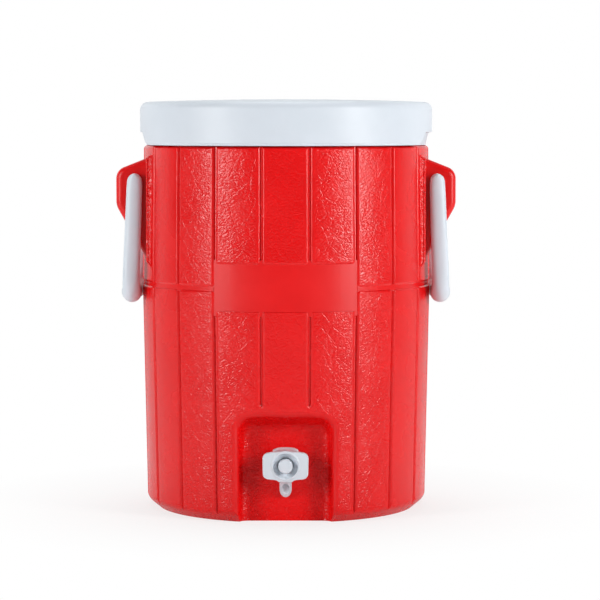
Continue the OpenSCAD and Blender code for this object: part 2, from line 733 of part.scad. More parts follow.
module tap_body() {
    spout_l = tap_z - spout_tip_z;
    moat_floor = wing_face - dish_d - moat_d - partition_face;
    dish_top = wing_face + over - partition_face;
    color(white) difference() {
        union() {
            on_tap(shank_end) cylinder(r = shank_r, h = gasket_face + flange_t - shank_end);
            on_tap(gasket_face) linear_extrude(flange_t)
                crowned_rect(flange_w, flange_h, flange_r, flange_crown);
            on_tap(gasket_face) linear_extrude(wing_face - wing_t / 2 - gasket_face)
                crowned_rect(tap_neck_w, tap_neck_h, flange_r, flange_crown);
            on_tap(wing_face - wing_t) linear_extrude(wing_t)
                crowned_rect(wing_w, wing_h, wing_r, wing_crown);
            tap_chin();
            translate([0, -spout_y, spout_tip_z]) cylinder(r = spout_r, h = spout_l - over);
        }
        on_tap(partition_face) rotate_extrude() polygon([
            [0, 0], [button_bore_r, 0], [button_bore_r, moat_floor], [moat_r, moat_floor],
            [moat_r, moat_floor + moat_d], [dish_r, moat_floor + moat_d + dish_d],
            [dish_r, dish_top], [0, dish_top]]);
        on_tap(way_end - over) cylinder(r = stem_bore_r, h = partition_t + 2 * over);
        on_tap(seal_mid - seal_wire_r - running_gap)
            cylinder(r = seal_room_r, h = 2 * (seal_wire_r + running_gap));
        on_tap(shank_end - over) cylinder(r = way_r, h = way_end - shank_end + over);
        translate([0, -spout_y, spout_tip_z - over]) cylinder(r = spout_bore_r, h = spout_l + over);
        translate([-spout_r - over, spout_r - spout_y, spout_tip_z]) rotate([-spout_angle, 0, 0])
            translate([0, -tap_z, -tap_z]) cube([2 * (spout_r + over), tap_z, tap_z]);
    }
}

module tap_button() {
    cup_l = button_l - button_face_t;
    color(white) on_tap(button_back) rotate_extrude() {
        difference() {
            union() {
                square([button_r - button_edge_r, button_l]);
                square([button_r, button_l - button_edge_r]);
                translate([button_r - button_edge_r, button_l - button_edge_r]) circle(button_edge_r);
            }
            translate([-over, -over]) square([button_r - button_t + over, cup_l + over]);
        }
        translate([stem_bore_r, cup_l - stem_shoulder_l])
            square([stem_shoulder_r - stem_bore_r, stem_shoulder_l + sliver]);
    }
}

module valve_stem() {
    neck = stem_r - clip_t / 2;
    color(white) on_tap(stem_end) difference() {
        union() {
            cylinder(r = stem_r, h = stem_front - stem_end);
            translate([0, 0, shank_end - stem_end]) cylinder(r = stem_shoulder_r, h = stem_shoulder_l);
        }
        translate([0, 0, clip_end - stem_end]) tube(neck, stem_shoulder_r, clip_t);
    }
}

module valve_disc() color(rubber) on_tap(disc_end) tube(stem_bore_r, disc_r, disc_t);

module stem_clip() color(steel) on_tap(clip_end) tube(stem_r - clip_t / 2 + running_gap, clip_r, clip_t);

module stem_seal() color(rubber) on_tap(seal_mid) rotate_extrude() translate([seal_r, 0]) circle(seal_wire_r);

module return_spring() {
    points = [for (i = [0 : spring_count]) for (j = [0 : spring_sides - 1])
        let (turn = i * 360 / spring_steps,
            section = polar(spring_wire_r, j * 360 / spring_sides),
            spot = polar(spring_r + section[0], turn))
        [spot[0], spot[1], spring_wire_r - section[1] + running_gap + spring_rise * i / spring_count]];
    faces = concat(closed_sides(spring_count + 1, spring_sides), end_caps(spring_count + 1, spring_sides));
    color(steel) on_tap(partition_face) polyhedron(points, faces, convexity = 10);
}

module outer_gasket() {
    color(rubber) on_tap(alcove_y) linear_extrude(gasket_t) difference() {
        crowned_rect(flange_w + 2 * gasket_reach, flange_h + 2 * gasket_reach, flange_r + gasket_reach,
            flange_crown);
        circle(tap_hole_r);
    }
}

module inner_gasket() color(rubber) on_tap(nut_face) tube(tap_hole_r, inner_gasket_r, gasket_t);

module tap_sleeve() {
    length = alcove_y - shell_t - boss_back - running_gap;
    color(white) on_tap(boss_back) tube(tap_hole_r, tap_hole_r + sleeve_t, length);
}

module lock_nut() {
    color(white) on_tap(nut_end) difference() {
        cylinder(d = nut_w / cos(30), h = nut_t, $fn = 6);
        translate([0, 0, -over]) cylinder(r = shank_r + running_gap, h = nut_t + 2 * over);
    }
}

outer_shell();
wall_foam();
inner_liner();
fill_plug();
lid_cover();
lid_foam();
lid_panel();
lid_gasket();
left_handle();
right_handle();
tap_body();
tap_button();
valve_stem();
valve_disc();
stem_clip();
stem_seal();
return_spring();
outer_gasket();
inner_gasket();
tap_sleeve();
lock_nut();
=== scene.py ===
# %% [markdown]
# # An insulated drink jug with a push tap
# The jug has a red staved body, a pale lift-off lid, two bail handles and a tap in an alcove. The solids
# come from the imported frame, in metres, with the floor at z = 0 and the tap facing -Y. The big visible
# mouldings are modelled again here with soft edges, and the small inner pieces keep their solids and get
# a finish.

# %% Load the frame
import json
from math import atan2, cos, degrees, hypot, pi, radians, sin, tan
import bmesh
import bpy
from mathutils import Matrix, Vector

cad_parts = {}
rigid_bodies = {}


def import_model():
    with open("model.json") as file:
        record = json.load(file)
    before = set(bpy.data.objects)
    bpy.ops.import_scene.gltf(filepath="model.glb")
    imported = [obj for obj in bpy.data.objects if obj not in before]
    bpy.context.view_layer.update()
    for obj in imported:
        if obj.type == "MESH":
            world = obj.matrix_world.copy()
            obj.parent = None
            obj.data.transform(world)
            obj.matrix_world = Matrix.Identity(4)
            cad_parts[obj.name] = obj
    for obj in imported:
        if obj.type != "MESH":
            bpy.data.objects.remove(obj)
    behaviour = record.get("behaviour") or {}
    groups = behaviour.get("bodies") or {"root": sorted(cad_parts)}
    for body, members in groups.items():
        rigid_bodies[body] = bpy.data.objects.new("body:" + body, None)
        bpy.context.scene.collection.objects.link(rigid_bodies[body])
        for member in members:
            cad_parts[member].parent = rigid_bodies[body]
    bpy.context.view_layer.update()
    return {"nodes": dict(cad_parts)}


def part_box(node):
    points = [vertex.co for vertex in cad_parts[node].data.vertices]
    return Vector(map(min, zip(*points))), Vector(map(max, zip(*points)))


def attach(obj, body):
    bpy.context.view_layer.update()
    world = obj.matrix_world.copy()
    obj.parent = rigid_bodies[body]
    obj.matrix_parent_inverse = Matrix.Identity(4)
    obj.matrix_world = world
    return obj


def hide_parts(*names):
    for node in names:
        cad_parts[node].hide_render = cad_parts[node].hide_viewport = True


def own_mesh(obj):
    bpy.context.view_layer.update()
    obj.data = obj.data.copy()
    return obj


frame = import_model()
scene = bpy.context.scene
bpy.ops.object.select_all(action="DESELECT")

# %% [markdown]
# The camera comes first, so that every later piece can be judged in the same picture. A long lens, almost
# three metres away and tipped down by four degrees, keeps the upright edges of the jug nearly parallel.

# %% Camera
camera_place, camera_tilt = (0.01593, -2.89027, 0.43951), 0.0702
bpy.ops.object.camera_add(location=camera_place, rotation=(pi / 2 - camera_tilt, 0, 0))
camera = bpy.context.object
camera.data.sensor_width, camera.data.lens = 36, 150.5
scene.camera = camera
print("Camera lens", camera.data.lens, "mm")

# %% [markdown]
# Modelling by hand means: pick one object, go into edit mode, select some faces or edges, and use a tool
# on them. These helpers do just that, and near tells whether a point lies at a measured place. The sizes
# in this file are millimetres, and mm turns them into metres.

# %% Selecting
mm = 0.001


def only(piece):
    bpy.ops.object.select_all(action="DESELECT")
    piece.select_set(True)
    bpy.context.view_layer.objects.active = piece


def edit(piece):
    only(piece)
    bpy.ops.object.mode_set(mode="EDIT")
    bpy.ops.mesh.select_mode(type="VERT")
    bpy.ops.mesh.select_all(action="SELECT")


def leave():
    bpy.ops.object.mode_set(mode="OBJECT")


def choose(piece, kind, test):
    bpy.ops.mesh.select_mode(type=kind)
    bpy.ops.mesh.select_all(action="DESELECT")
    mesh = bmesh.from_edit_mesh(piece.data)
    pool = {"VERT": mesh.verts, "EDGE": mesh.edges, "FACE": mesh.faces}[kind]
    found = [part for part in pool if test(part)]
    for part in found:
        part.select_set(True)
    bmesh.update_edit_mesh(piece.data)
    return len(found)


def near(value, size):
    return abs(value - size * mm) < 0.01 * mm


print("Selecting is ready")

# %% [markdown]
# Many mouldings start as a traced line. A plane is merged to one point, and the point is extruded from
# corner to corner. A line that is spun round an axis is a turned piece, and a closed outline that is
# filled and extruded is a slab. Tracing keeps each corner at its measured place, which a stretched cube
# would not.

# %% Tracing, turning and slabs
weld = 0.004 * mm


def trace(name, points):
    bpy.ops.object.select_all(action="DESELECT")
    bpy.ops.mesh.primitive_plane_add(size=mm, location=Vector(points[0]) * mm)
    piece = bpy.context.object
    piece.name = name
    bpy.ops.object.transform_apply(location=True)
    edit(piece)
    bpy.ops.mesh.merge(type="CENTER")
    for start, end in zip(points, points[1:]):
        step = (Vector(end) - Vector(start)) * mm
        bpy.ops.mesh.extrude_region_move(TRANSFORM_OT_translate={"value": step})
    bpy.ops.mesh.select_all(action="SELECT")
    return piece


def tidy_skin():
    bpy.ops.mesh.select_all(action="SELECT")
    bpy.ops.mesh.remove_doubles(threshold=weld)
    bpy.ops.mesh.normals_make_consistent(inside=False)


def closed(name, outline):
    piece = trace(name, outline + outline[:1])
    bpy.ops.mesh.remove_doubles(threshold=weld)
    return piece


def lathe(name, profile, steps=128):
    piece = trace(name, [(r, 0, z) for r, z in profile])
    bpy.ops.mesh.spin(steps=steps, angle=2 * pi, center=(0, 0, 0), axis=(0, 0, 1))
    tidy_skin()
    leave()
    return piece


def rod(name, r, low, high, steps=48):
    return lathe(name, [(0, low), (r, low), (r, high), (0, high)], steps)


def slab(name, outline, run):
    piece = closed(name, outline)
    bpy.ops.mesh.edge_face_add()
    bpy.ops.mesh.extrude_region_move(TRANSFORM_OT_translate={"value": Vector(run) * mm})
    tidy_skin()
    leave()
    return piece


print("Tracing is ready")

# %% [markdown]
# Pieces are joined and cut with Boolean modifiers that are applied at once, as with a chisel. Soft
# corners come from the bevel tool. An arc helper gives the points of a round corner in a traced outline.

# %% Carving and softening
def carve(piece, tool, how="DIFFERENCE"):
    cut = piece.modifiers.new("carve", "BOOLEAN")
    cut.operation = how
    cut.solver = "EXACT"
    cut.object = tool
    only(piece)
    bpy.ops.object.modifier_apply(modifier=cut.name)
    bpy.data.objects.remove(tool)


def soften(piece, width, segments, test):
    edit(piece)
    count = choose(piece, "EDGE", test)
    bpy.ops.mesh.bevel(offset=width * mm, segments=segments, affect="EDGES", clamp_overlap=True)
    leave()
    return count


def crease(edge):
    return edge.calc_face_angle(0)


def arc(x, z, r, start, end, steps):
    turns = [radians(start + (end - start) * i / steps) for i in range(steps + 1)]
    return [(x + r * cos(t), z + r * sin(t)) for t in turns]


print("Carving is ready")

# %% [markdown]
# ## The staved body
# The body is one red moulding with twenty staves, like a barrel. It leans in slightly above and below a
# waist. The grooves could be cut one by one, but the soft lips beside them would be lost. So a plain core
# is made at the depth of the grooves, and raised panels with soft edges are set on it. The function flat
# tells how far a stave lies from the axis at a height. The core is longer than the panels at both ends,
# because ends in the same plane confuse the Boolean solver.

# %% Core
stave_count = 20
stave = radians(360 / stave_count)
groove_w, groove_d, lip_r = 2.2, 2.6, 3.2
waist_z, waist_w, waist_r = 258.5, 3.6, 165.2
top_lean, top_run, foot_lean, foot_run = 1.9, 156.5, 4.9, 245.5
below, above, core_past = -8.0, 422.0, 4


def flat(z):
    if z > waist_z:
        return waist_r - top_lean * (z - waist_z) / top_run
    return waist_r - foot_lean * (waist_z - z) / foot_run


def drum(name, low, high, sunk, sides=120):
    low_r = (flat(low) - sunk) * mm
    if sides == stave_count:
        low_r /= cos(stave / 2)
    bpy.ops.object.select_all(action="DESELECT")
    bpy.ops.mesh.primitive_cylinder_add(
        vertices=sides, radius=low_r, depth=(high - low) * mm,
        location=(0, 0, (low + high) / 2 * mm), rotation=(0, 0, pi / sides))
    piece = bpy.context.object
    piece.name = name
    bpy.ops.object.transform_apply()
    edit(piece)
    if low < waist_z < high:
        bpy.ops.mesh.bisect(plane_co=(0, 0, waist_z * mm), plane_no=(0, 0, 1))
    for height in (waist_z, high):
        ratio = (flat(height) - sunk) / (flat(low) - sunk)
        choose(piece, "VERT", lambda v: near(v.co.z, height))
        bpy.ops.transform.resize(value=(ratio, ratio, 1), center_override=(0, 0, height * mm))
    leave()
    return piece


body = drum("staved_body", below - core_past, above + core_past, groove_d)
print("Core with", len(body.data.polygons), "faces")

# %% [markdown]
# A highlight on the real staves fades evenly from one to the next, so they are round, not flat. They are
# modelled flat, because the bevel tool likes straight edges, and bent afterwards: the bisect tool adds
# upright edges, and each point near the skin is pulled in by the cosine of its angle from the middle of
# its stave.

# %% Bending
bend_skin, bend_deep = 3.0, 12.0


def bend(piece, turns):
    edit(piece)
    for turn in turns:
        bpy.ops.mesh.select_all(action="SELECT")
        bpy.ops.mesh.bisect(plane_co=(0, 0, 0), plane_no=(cos(radians(turn)), sin(radians(turn)), 0))
    leave()
    for point in piece.data.vertices:
        x, y, z = point.co
        off = atan2(x, -y) % stave
        off = min(off, stave - off)
        deep = flat(z / mm) - hypot(x, y) * cos(off) / mm
        share = min(max((bend_deep - deep) / (bend_deep - bend_skin), 0), 1)
        pull = 1 - share * (1 - cos(off))
        point.co = (x * pull, y * pull, z)


print("Bending is ready")

# %% [markdown]
# One panel is a leaning slab. Its corners at the waist are rounded first, and then the lip all round its
# outer face. It is modelled once for each length, copied with its own mesh, and turned about the jug's
# axis.

# %% Panels
panel_t, panel_r = 4, 3.5
plaque_low, plaque_high = 234.0, 285.5
panels = []


def panel(name, low, high, round_low, round_high):
    wide = {z: 2 * flat(z) * tan(stave / 2) - groove_w for z in (low, high)}
    side = [(panel_t - flat(low), low), (-flat(low), low)]
    side += [(-flat(high), high), (panel_t - flat(high), high)]
    piece = slab(name, [(-wide[low] / 2, y, z) for y, z in side], (wide[low], 0, 0))
    edit(piece)
    choose(piece, "VERT", lambda v: v.co.z > (high - 1) * mm)
    bpy.ops.transform.resize(value=(wide[high] / wide[low], 1, 1), center_override=(0, 0, 0))
    leave()
    ends = [z for z, rounded in ((low, round_low), (high, round_high)) if rounded]
    soften(piece, panel_r, 4, lambda e: any(near(v.co.z, z) for z in ends for v in e.verts)
           and near(e.verts[0].co.x - e.verts[1].co.x, 0) and near(e.verts[0].co.z - e.verts[1].co.z, 0))
    soften(piece, lip_r, 4, lambda e: crease(e) > 1.2
           and all(v.co.y < -(flat(v.co.z / mm) - 0.1) * mm for v in e.verts))
    bend(piece, (-6, -3, 0, 3, 6))
    return piece


def set_panels(model, staves):
    for number in staves:
        only(model)
        bpy.ops.object.duplicate()
        bpy.ops.object.mode_set(mode="EDIT")
        bpy.ops.mesh.select_all(action="SELECT")
        bpy.ops.transform.rotate(value=number * stave, orient_axis="Z", center_override=(0, 0, 0))
        leave()
        panels.append(bpy.context.object)
    bpy.data.objects.remove(model)


def join_all(pieces):
    bpy.ops.object.select_all(action="DESELECT")
    for piece in pieces:
        piece.select_set(True)
    bpy.context.view_layer.objects.active = pieces[0]
    bpy.ops.object.join()
    return pieces[0]


set_panels(panel("upper_panel", waist_z + waist_w / 2, above, True, False), range(2, 19))
set_panels(panel("lower_panel", below, waist_z - waist_w / 2, False, True), range(2, 19))
set_panels(panel("front_panel", plaque_high, above, True, False), (-1, 0, 1))
all_panels = join_all(panels)
print("Panels:", len(panels), "with", len(all_panels.data.polygons), "faces")

# %% [markdown]
# Below the plaque the three front staves are one block, because the tap alcove interrupts their grooves.
# The block is cut out of a full drum with the bisect tool. The two grooves are strips that are bevelled
# out of the stave corners and then inset in four small steps, which gives them round sides. The top is
# trimmed afterwards, so the grooves run out openly there. The lips along the sides are rounded before the
# small lips at the top, because one bevel for both would be held back by the smaller one.

# %% Front block
front_half, front_back = 1.5 * stave, 105
groove_end, groove_lip, top_lip_r, spare = 131.0, 2.9, 1.2, 10
groove_steps = ((1.3, 0.3), (0.9, 0.55), (0.5, 0.75), (0.2, 1.0))
front = drum("front_block", below, plaque_high, 0, stave_count)
edit(front)
bpy.ops.mesh.bisect(plane_co=(0, 0, groove_end * mm), plane_no=(0, 0, 1))


def trim(plane_co, plane_no):
    bpy.ops.mesh.select_all(action="SELECT")
    bpy.ops.mesh.bisect(plane_co=plane_co, plane_no=plane_no, use_fill=True, clear_outer=True)


for side in (-1, 1):
    away = Vector((side * cos(front_half), sin(front_half), 0))
    trim(-away * groove_w / 2 * mm, away)
trim((0, -front_back * mm, 0), (0, 1, 0))
trim((0, 0, (plaque_low + spare) * mm), (0, 0, 1))


def off_flat(point):
    nearest = round(atan2(point.x, -point.y) / stave) * stave
    return point.x * sin(nearest) - point.y * cos(nearest) - flat(point.z / mm) * mm


corners = choose(front, "EDGE", lambda e: 0.2 < crease(e) < 0.4 and all(
    v.co.z > (groove_end - 0.1) * mm and abs(v.co.x) < 30 * mm and v.co.y < -140 * mm for v in e.verts))
bpy.ops.mesh.bevel(offset=(groove_w / 2 + groove_lip) * mm, segments=1, affect="EDGES")
for inward, deep in groove_steps:
    bpy.ops.mesh.inset(thickness=inward * mm, depth=-deep * mm)
trim((0, 0, plaque_low * mm), (0, 0, 1))
leave()


def lip_edge(edge):
    return crease(edge) > 0.8 and all(abs(off_flat(v.co)) < 0.15 * mm for v in edge.verts)


def at_top(edge):
    return min(v.co.z for v in edge.verts) > (plaque_low - 1) * mm


lips = soften(front, lip_r, 4, lambda e: lip_edge(e) and abs(e.verts[0].co.z - e.verts[1].co.z) > 50 * mm)
lips += soften(front, top_lip_r, 3, lambda e: lip_edge(e) and at_top(e))
print("Front block:", corners, "stave corners became grooves,", lips, "lip edges softened")

# %% [markdown]
# The tap stands in an alcove that is open to the floor. Its side walls spread and its roof rises towards
# the front. The room of the alcove is modelled as a solid, with round upper corners and soft inner
# corners, and is cut out of the front block. The rim of the mouth is then rounded wide, as on the real
# moulding.

# %% Alcove
alcove_y, alcove_w, alcove_h, alcove_r = 131.0, 93.6, 106.3, 12.0
alcove_run, alcove_floor, alcove_spread, alcove_rise = 46.0, -20.0, radians(11), radians(25)
inner_r, mouth_r, mouth_half = 7, 8, 62


def alcove_room(name, grow):
    half, top, y = alcove_w / 2 + grow, alcove_h + grow, -(alcove_y - grow)
    run = alcove_run + grow
    arch = [(-half, alcove_floor), (half, alcove_floor)]
    arch += arc(half - alcove_r, top - alcove_r, alcove_r, 0, 90, 6)
    arch += arc(alcove_r - half, top - alcove_r, alcove_r, 90, 180, 6)
    room = slab(name, [(x, y, z) for x, z in arch], (0, -run, 0))
    edit(room)
    choose(room, "VERT", lambda v: v.co.y < (y - 1) * mm)
    wider = 1 + run * tan(alcove_spread) / half
    taller = 1 + run * tan(alcove_rise) / (top - alcove_floor)
    mouth_floor = (0, (y - run) * mm, alcove_floor * mm)
    bpy.ops.transform.resize(value=(wider, 1, taller), center_override=mouth_floor)
    leave()
    return room


def on_mouth(edge):
    return crease(edge) > 0.6 and max(v.co.z for v in edge.verts) > (below + 1) * mm and all(
        abs(off_flat(v.co)) < 0.15 * mm and abs(v.co.x) < mouth_half * mm and v.co.z < (groove_end - 1) * mm
        for v in edge.verts)


room = alcove_room("alcove_room", 0)
soften(room, inner_r, 4, lambda e: crease(e) > 0.8 and max(v.co.z for v in e.verts) > 0
       and all(near(v.co.y, -alcove_y) for v in e.verts))
carve(front, room)
mouth = soften(front, mouth_r, 6, on_mouth)
bend(front, [turn for turn in range(-24, 25, 3) if abs(turn) not in (9, 18)])
print("Alcove rim:", mouth, "edges softened,", len(front.data.polygons), "faces")

# %% [markdown]
# The pieces of the body are joined now. The core first loses the places that the front block and the
# plaque fill, so that it can't show through a soft edge. The plaque is a smooth round surface between the
# grooves at either side of the front. A turned envelope trims the whole to its sloping heel and its
# shoulder.

# %% Join the body
plaque_r, plaque_half, pocket_half, waist_half = 163.6, radians(27.65), radians(27.5), radians(27.6)
waist_deep, gap_at, gap_size = 1.3, Vector((0, -160, 65)), Vector((110, 90, 170))
foot_r, heel_r, shoulder_r, body_h = 147.0, 12.0, 5.2, 415.0


def front_sector(name, r_in, r_out, half_angle, low, high):
    turns = [-half_angle + 2 * half_angle * i / 24 for i in range(25)]
    rim = [(r_out * sin(t), -r_out * cos(t), low) for t in turns]
    rim += [(r_in * sin(half_angle), -r_in * cos(half_angle), low),
            (-r_in * sin(half_angle), -r_in * cos(half_angle), low)]
    return slab(name, rim, (0, 0, high - low))


bpy.ops.mesh.primitive_cube_add(size=1, location=gap_at * mm, scale=gap_size * mm)
carve(body, bpy.context.object)
carve(body, front_sector("plaque_pocket", 150, 190, pocket_half, plaque_low - 3, plaque_high + 3))
carve(body, front_sector("plaque", 140, plaque_r, plaque_half, plaque_low - 5, plaque_high + 5), "UNION")
waist_floor = drum("waist_floor", waist_z - 4, waist_z + 4, waist_deep)
carve(waist_floor, front_sector("waist_gap", 100, 190, waist_half, waist_z - 10, waist_z + 10))
for tool in (front, waist_floor, all_panels):
    carve(body, tool, "UNION")
heel = arc(foot_r + 1.5, 16.9, heel_r, -49.6, -8, 8)
shoulder = arc(158.4, body_h - shoulder_r, shoulder_r, 12, 90, 7)
envelope = lathe("envelope", [(0, 0), (foot_r, 0)] + heel + [(172, 98), (172, body_h - 6)] + shoulder
                 + [(0, body_h)], 180)
carve(body, envelope, "INTERSECT")
print("Body with", len(body.data.polygons), "faces")

# %% [markdown]
# Twenty equal staves are 18 degrees wide each, but in the photo those at the front are a little wider.
# The skin is therefore turned outwards from the middle of the front: more and more up to 1.6 degrees, and
# then less and less, until nothing is left just behind the sides. Deep points, such as the back wall of
# the alcove, stay where they are.

# %% Spread the staves
spread_steps = ((0, 27, 1.2), (27, 63, 0.4), (63, 99, -1.6))
turned_deep, still_deep, heel_slope = 3.6, 12.0, 1.2


def spread(turn):
    return sum(more * min(max((turn - low) / (high - low), 0), 1) for low, high, more in spread_steps)


for point in body.data.vertices:
    x, y, z = point.co
    turn, far = atan2(x, -y), hypot(x, y)
    deep = min(flat(z / mm), foot_r + heel_slope * z / mm) - far / mm
    share = min(max((still_deep - deep) / (still_deep - turned_deep), 0), 1)
    extra = radians(spread(abs(degrees(turn)))) * share
    turn += extra if turn > 0 else -extra
    point.co = (far * sin(turn), -far * cos(turn), z)
moved = {groove: round(spread(groove), 2) for groove in (9, 27, 45, 63)}
print("Grooves moved outwards, in degrees:", moved)

# %% [markdown]
# Each side carries a lug, an ear that holds the handle's two studs, with a flat pad behind it. Both are
# slabs of their side view. Their long edges are rounded first and the outline after that, because a bevel
# needs the sharp corner to measure from.

# %% Lugs and pads
pivot_x, pivot_z, lug_half, pad_root, neck_z = 171.0, 374.4, 46.0, 149.0, 411


def lug(side):
    view = [(21.8, 12.4), (21.8, -27.6), (-22.0, -105.3), (-22.0, 29.8)]
    piece = slab("lug", [(side * (pivot_x + x), -lug_half, pivot_z + z) for x, z in view],
                 (0, 2 * lug_half, 0))
    for height, width in ((12.4, 8.8), (-27.6, 5.0)):
        soften(piece, width, 6, lambda e: all(
            near(v.co.z, pivot_z + height) and abs(v.co.x) > 185 * mm for v in e.verts))
    soften(piece, 7.0, 7, lambda e: crease(e) > 1.2 and min(abs(v.co.x) for v in e.verts) > 148 * mm
           and all(near(abs(v.co.y), lug_half) for v in e.verts)
           and max(abs(v.co.x) for v in e.verts) > 150 * mm)
    return piece


def pad(side):
    x, high, low = pivot_x - 13, pivot_z + 26, pivot_z - 90
    view = [(x, high), (x - 35, high + 23.5), (x - 35, low - 47), (x, low)]
    piece = slab("pad", [(side * a, -80, z) for a, z in view], (0, 160, 0))
    edit(piece)
    choose(piece, "VERT", lambda v: abs(v.co.x) > (x - 1) * mm)
    bpy.ops.transform.resize(value=(1, 0.76, 1), center_override=(0, 0, 0))
    trim((0, 0, neck_z * mm), (0, 0, 1))
    leave()
    soften(piece, 1.3, 3, lambda e: crease(e) > 0.5 and all(abs(v.co.x) > (x - 1) * mm for v in e.verts))
    edit(piece)
    bpy.ops.mesh.bisect(plane_co=(side * pad_root * mm, 0, 0), plane_no=(1, 0, 0))
    choose(piece, "FACE", lambda f: abs(f.normal.y) > 0.8 and abs(f.calc_center_median().x) > pad_root * mm)
    bpy.ops.mesh.inset(thickness=1.1 * mm, depth=0)
    bpy.ops.mesh.inset(thickness=0.7 * mm, depth=-0.9 * mm)
    leave()
    return piece


for side in (-1, 1):
    carve(body, pad(side), "UNION")
    carve(body, lug(side), "UNION")
print("Body with lugs:", len(body.data.polygons), "faces")

# %% [markdown]
# The moulding is a hollow skin. The room for foam and liner is turned from its half section, and the
# alcove's own wall is left standing by taking a slightly larger alcove out of that room first. The small
# holes for the tap, the filling plug and the studs of the handles follow.

# %% Hollow the body
wall_side = [(0, 6.5), (149.2, 6.5), (154.8, 11.2), (159.7, waist_z), (157.8, neck_z)]
hollow = lathe("hollow", wall_side + [(149.3, neck_z), (149.3, 420), (0, 420)], 160)
carve(hollow, alcove_room("alcove_wall", 3.5))
carve(body, hollow)
carve(body, lathe("base_hollow", [(0, -2), (122, -2), (121, 3), (0, 3)], 96))
carve(body, rod("fill_hole", 10.3, -2, 9))
tap_z = 64.6


def lay(piece, x=0, z=tap_z, end=1):
    only(piece)
    piece.rotation_euler = (end * pi / 2, 0, 0)
    piece.location = (x * mm, 0, z * mm)
    bpy.ops.object.transform_apply()
    return piece


carve(body, lay(rod("tap_hole", 12, 120, 136)))
for side in (-1, 1):
    for end in (-1, 1):
        carve(body, lay(rod("socket", 6.3, 36, 48, 40), side * pivot_x, pivot_z, end))
print("Hollow body:", len(body.data.polygons), "faces")

# %% [markdown]
# A moulding looks soft when light runs round its edges. Smooth shading is kept below an angle, and
# weighted normals let the large flat faces stay flat beside their small bevels. A finished piece is then
# handed to the frame: it rides on a body and stands for a node, whose solid is hidden.

# %% Finish a piece
def finish(piece, body_name, node, angle=40):
    edit(piece)
    bpy.ops.mesh.remove_doubles(threshold=0.002 * mm)
    bpy.ops.mesh.dissolve_degenerate(threshold=0.002 * mm)
    leave()
    bpy.ops.object.shade_smooth_by_angle(angle=radians(angle))
    even = piece.modifiers.new("even", "WEIGHTED_NORMAL")
    even.keep_sharp = True
    bpy.ops.object.modifier_apply(modifier=even.name)
    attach(piece, body_name)
    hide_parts(node)
    return piece


finish(body, "jug", "outer_shell", 30)
print("Staved body is finished")

# %% [markdown]
# ## The lid
# The lid is a turned cap with a slight crown and a rounded edge. Two finger notches in the skirt have a
# sloping roof. The cap, its room and the notches are turned or traced separately, and the wall behind a
# notch is left standing by taking a larger notch out of the room first.

# %% Lid
lid_r, lid_z, lid_h, lid_crown, lid_t = 167.5, 415.3, 49.0, 3.0, 3.0
edge_r = 9.0


def lid_section(inset):
    rim = lid_r - edge_r
    crown = [(rim * i / 8, lid_z + lid_h + lid_crown * (1 - (i / 8) ** 2) - inset) for i in range(8)]
    return crown + arc(rim, lid_z + lid_h - edge_r, edge_r - inset, 90, 0, 8)


def notch(name, side, grow):
    low = lid_z - 4
    ring = [(160.5 - grow, low), (178, low), (178, lid_z + 17 + grow), (164 - grow, lid_z + 14.2 + grow),
            (163 - grow, lid_z + 13 + grow), (160.5 - grow, lid_z + 3), (160.5 - grow, low)]
    piece = lathe(name, ring, 160)
    view = [(-72 - grow, low - 1), (72 + grow, low - 1), (38 + grow, lid_z + 22), (-38 - grow, lid_z + 22)]
    keep = slab("notch_length", [(side * 60, y, z) for y, z in view], (side * 140, 0, 0))
    carve(piece, keep, "INTERSECT")
    return piece


bead = [(lid_r, lid_z + 2.6), (lid_r - 0.6, lid_z + 2.2), (lid_r - 0.6, lid_z + 0.6), (lid_r - 1.2, lid_z)]
lid = lathe("lid_cap", lid_section(0) + bead + [(0, lid_z)], 160)
lid_room = lathe("lid_room", lid_section(lid_t) + [(lid_r - lid_t, lid_z - 5), (0, lid_z - 5)], 160)
for side in (-1, 1):
    carve(lid_room, notch("notch_wall", side, lid_t))
carve(lid, lid_room)
for side in (-1, 1):
    carve(lid, notch("notch", side, 0))
edit(lid)
bpy.ops.transform.rotate(value=radians(3), orient_axis="Z", center_override=(0, 0, 0))
leave()
finish(lid, "lid", "lid_cover", 50)
print("Lid with", len(lid.data.polygons), "faces")

# %% [markdown]
# ## The bail handles
# A handle is a moulded bar that goes from squared legs to a round grip. Its sections are traced as loops
# along its path and bridged into one skin. Only the front half of the right handle is traced: the round
# end of the leg, the leg, the bend and half of the grip. A station is the middle of a section, its half
# width and half thickness, how square it is, and its turn. A mirror and a subdivision surface complete
# the bar, and the studs that turn in the lug are joined on.

# %% Handle sections
leg_mid, leg_t, leg_half, leg_square = 53.1, 6.5, 9.05, 2.2
leg_run, leg_out, leg_wider = 86.4, 3.4, 0.75
bend_r, bend_x, bend_half, bend_wider = 20.0, pivot_x + 4.5, 9.8, 1.8
grip_end_y, grip_drop, grip_half, grip_gap = 33.1, 126.4, 11, 0.8
end_half, end_tall, end_wider, end_taller = 11.6, 12.4, 0.6, 1.4


def grip_x(y, r):
    return grip_gap + r + min(waist_r, (waist_r - y * sin(stave)) / cos(stave))


